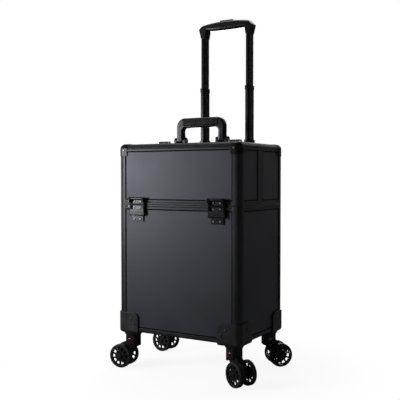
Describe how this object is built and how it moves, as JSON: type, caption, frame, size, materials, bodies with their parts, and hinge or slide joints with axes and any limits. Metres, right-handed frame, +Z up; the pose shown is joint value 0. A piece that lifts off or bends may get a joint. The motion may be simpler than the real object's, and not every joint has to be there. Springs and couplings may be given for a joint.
{
  "type": "rolling makeup train case",
  "caption": "Upright black case on twin-wheel swivel casters with a flip-up front lid, latches, a folding carry handle and a telescopic trolley handle.",
  "frame": {"origin": "on the floor, under the middle of the box", "axes": "+Z up, +X to the right seen from the front, +Y to the rear"},
  "size_m": [0.4187, 0.3039, 0.926],
  "materials": {
    "panel_laminate": "fine pebbled satin black",
    "frame_rail": "black anodised extrusion",
    "moulded_corner": "moulded black, fine texture",
    "black_hardware": "black plated steel",
    "steel_pin": "plain steel",
    "rivet": "black oxide rivet heads",
    "handle_plastic": "satin moulded black",
    "soft_grip": "ribbed soft-touch black",
    "button_plastic": "gloss black",
    "trolley_tube": "black anodised tube",
    "tray_plastic": "moulded dark grey",
    "caster_plastic": "moulded black",
    "wheel_plastic": "black hub and tread"
  },
  "bodies": {
    "case": {"lower_front_panel": "panel_laminate", "lower_rear_panel": "panel_laminate", "lower_side_panels": "panel_laminate", "base_panel": "panel_laminate", "hood_back_panel": "panel_laminate", "hood_side_panels": "panel_laminate", "hood_top_panel": "panel_laminate", "lower_corner_posts": "frame_rail", "base_rails": "frame_rail", "body_rim_rails": "frame_rail", "hood_rails": "frame_rail", "hood_corner_caps": "moulded_corner", "front_left_caster_bracket": "moulded_corner", "front_right_caster_bracket": "moulded_corner", "rear_left_caster_bracket": "moulded_corner", "rear_right_caster_bracket": "moulded_corner", "hinge_leaves_hood": "black_hardware", "latch_keepers": "black_hardware", "handle_brackets": "black_hardware", "hinge_pins": "steel_pin", "handle_pins": "steel_pin", "body_rivets": "rivet", "trolley_top_clamp": "handle_plastic", "trolley_foot_bracket": "handle_plastic", "trolley_collars": "handle_plastic", "trolley_outer_tubes": "trolley_tube", "tray_ledges": "tray_plastic"},
    "front_lid": {"lid_front_panel": "panel_laminate", "lid_side_panels": "panel_laminate", "lid_top_panel": "panel_laminate", "lid_rails": "frame_rail", "lid_corner_caps": "moulded_corner", "lid_rivets": "rivet", "hinge_leaves_lid": "black_hardware", "latch_plates": "black_hardware", "latch_pins": "steel_pin"},
    "left_latch": {"left_latch_flap": "black_hardware"},
    "right_latch": {"right_latch_flap": "black_hardware"},
    "carry_handle": {"carry_handle_frame": "handle_plastic", "carry_handle_grip": "soft_grip"},
    "lower_stage": {"lower_stage_tubes": "trolley_tube", "lower_stage_collars": "handle_plastic"},
    "upper_stage": {"upper_stage_tubes": "trolley_tube", "pull_grip": "handle_plastic"},
    "release": {"release_button": "button_plastic", "release_rods": "steel_pin"},
    "tray": {"lift_out_tray": "tray_plastic"},
    "front_left_caster": {"front_left_caster_housing": "caster_plastic"},
    "front_left_port_wheel": {"front_left_port_wheel": "wheel_plastic"},
    "front_left_starboard_wheel": {"front_left_starboard_wheel": "wheel_plastic"},
    "front_right_caster": {"front_right_caster_housing": "caster_plastic"},
    "front_right_port_wheel": {"front_right_port_wheel": "wheel_plastic"},
    "front_right_starboard_wheel": {"front_right_starboard_wheel": "wheel_plastic"},
    "rear_left_caster": {"rear_left_caster_housing": "caster_plastic"},
    "rear_left_port_wheel": {"rear_left_port_wheel": "wheel_plastic"},
    "rear_left_starboard_wheel": {"rear_left_starboard_wheel": "wheel_plastic"},
    "rear_right_caster": {"rear_right_caster_housing": "caster_plastic"},
    "rear_right_port_wheel": {"rear_right_port_wheel": "wheel_plastic"},
    "rear_right_starboard_wheel": {"rear_right_starboard_wheel": "wheel_plastic"}
  },
  "joints": [
    {"name": "lid_hinge", "type": "hinge", "parent": "case", "child": "front_lid", "pos_m": [0, -0.0124, 0.5845], "axis": [-1, 0, 0], "range_deg": [0, 95]},
    {"name": "left_latch_hinge", "type": "hinge", "parent": "front_lid", "child": "left_latch", "pos_m": [-0.1155, -0.1265, 0.44], "axis": [-1, 0, 0], "range_deg": [0, 110]},
    {"name": "right_latch_hinge", "type": "hinge", "parent": "front_lid", "child": "right_latch", "pos_m": [0.1155, -0.1265, 0.44], "axis": [-1, 0, 0], "range_deg": [0, 110]},
    {"name": "carry_handle_fold", "type": "hinge", "parent": "case", "child": "carry_handle", "pos_m": [0, 0.001, 0.5901], "axis": [-1, 0, 0], "range_deg": [0, 90]},
    {"name": "lower_stage_slide", "type": "slide", "parent": "case", "child": "lower_stage", "axis": [0, 0, 1], "range_m": [-0.132, 0]},
    {"name": "upper_stage_slide", "type": "slide", "parent": "lower_stage", "child": "upper_stage", "axis": [0, 0, 1], "range_m": [-0.136, 0]},
    {"name": "release_press", "type": "slide", "parent": "upper_stage", "child": "release", "axis": [0, 0, -1], "range_m": [0, 0.004], "stiffness_N_per_m": 500, "springref_m": -0.006},
    {"name": "tray_lift", "type": "slide", "parent": "case", "child": "tray", "axis": [0, 0, 1], "range_m": [0, 0.1]},
    {"name": "front_left_swivel", "type": "hinge", "parent": "case", "child": "front_left_caster", "pos_m": [-0.1485, -0.096, 0.07], "axis": [0, 0, 1], "continuous": true},
    {"name": "front_left_port_roll", "type": "hinge", "parent": "front_left_caster", "child": "front_left_port_wheel", "pos_m": [-0.17524, -0.09976, 0.0305], "axis": [0.1392, -0.9903, 0], "continuous": true},
    {"name": "front_left_starboard_roll", "type": "hinge", "parent": "front_left_caster", "child": "front_left_starboard_wheel", "pos_m": [-0.17524, -0.09976, 0.0305], "axis": [0.1392, -0.9903, 0], "continuous": true},
    {"name": "front_right_swivel", "type": "hinge", "parent": "case", "child": "front_right_caster", "pos_m": [0.1485, -0.096, 0.07], "axis": [0, 0, 1], "continuous": true},
    {"name": "front_right_port_roll", "type": "hinge", "parent": "front_right_caster", "child": "front_right_port_wheel", "pos_m": [0.17297, -0.10741, 0.0305], "axis": [0.4226, 0.9063, 0], "continuous": true},
    {"name": "front_right_starboard_roll", "type": "hinge", "parent": "front_right_caster", "child": "front_right_starboard_wheel", "pos_m": [0.17297, -0.10741, 0.0305], "axis": [0.4226, 0.9063, 0], "continuous": true},
    {"name": "rear_left_swivel", "type": "hinge", "parent": "case", "child": "rear_left_caster", "pos_m": [-0.1485, 0.096, 0.07], "axis": [0, 0, 1], "continuous": true},
    {"name": "rear_left_port_roll", "type": "hinge", "parent": "rear_left_caster", "child": "rear_left_port_wheel", "pos_m": [-0.17543, 0.09788, 0.0305], "axis": [-0.0698, -0.9976, 0], "continuous": true},
    {"name": "rear_left_starboard_roll", "type": "hinge", "parent": "rear_left_caster", "child": "rear_left_starboard_wheel", "pos_m": [-0.17543, 0.09788, 0.0305], "axis": [-0.0698, -0.9976, 0], "continuous": true},
    {"name": "rear_right_swivel", "type": "hinge", "parent": "case", "child": "rear_right_caster", "pos_m": [0.1485, 0.096, 0.07], "axis": [0, 0, 1], "continuous": true},
    {"name": "rear_right_port_roll", "type": "hinge", "parent": "rear_right_caster", "child": "rear_right_port_wheel", "pos_m": [0.16792, 0.11476, 0.0305], "axis": [-0.6947, 0.7193, 0], "continuous": true},
    {"name": "rear_right_starboard_roll", "type": "hinge", "parent": "rear_right_caster", "child": "rear_right_starboard_wheel", "pos_m": [0.16792, 0.11476, 0.0305], "axis": [-0.6947, 0.7193, 0], "continuous": true}
  ]
}
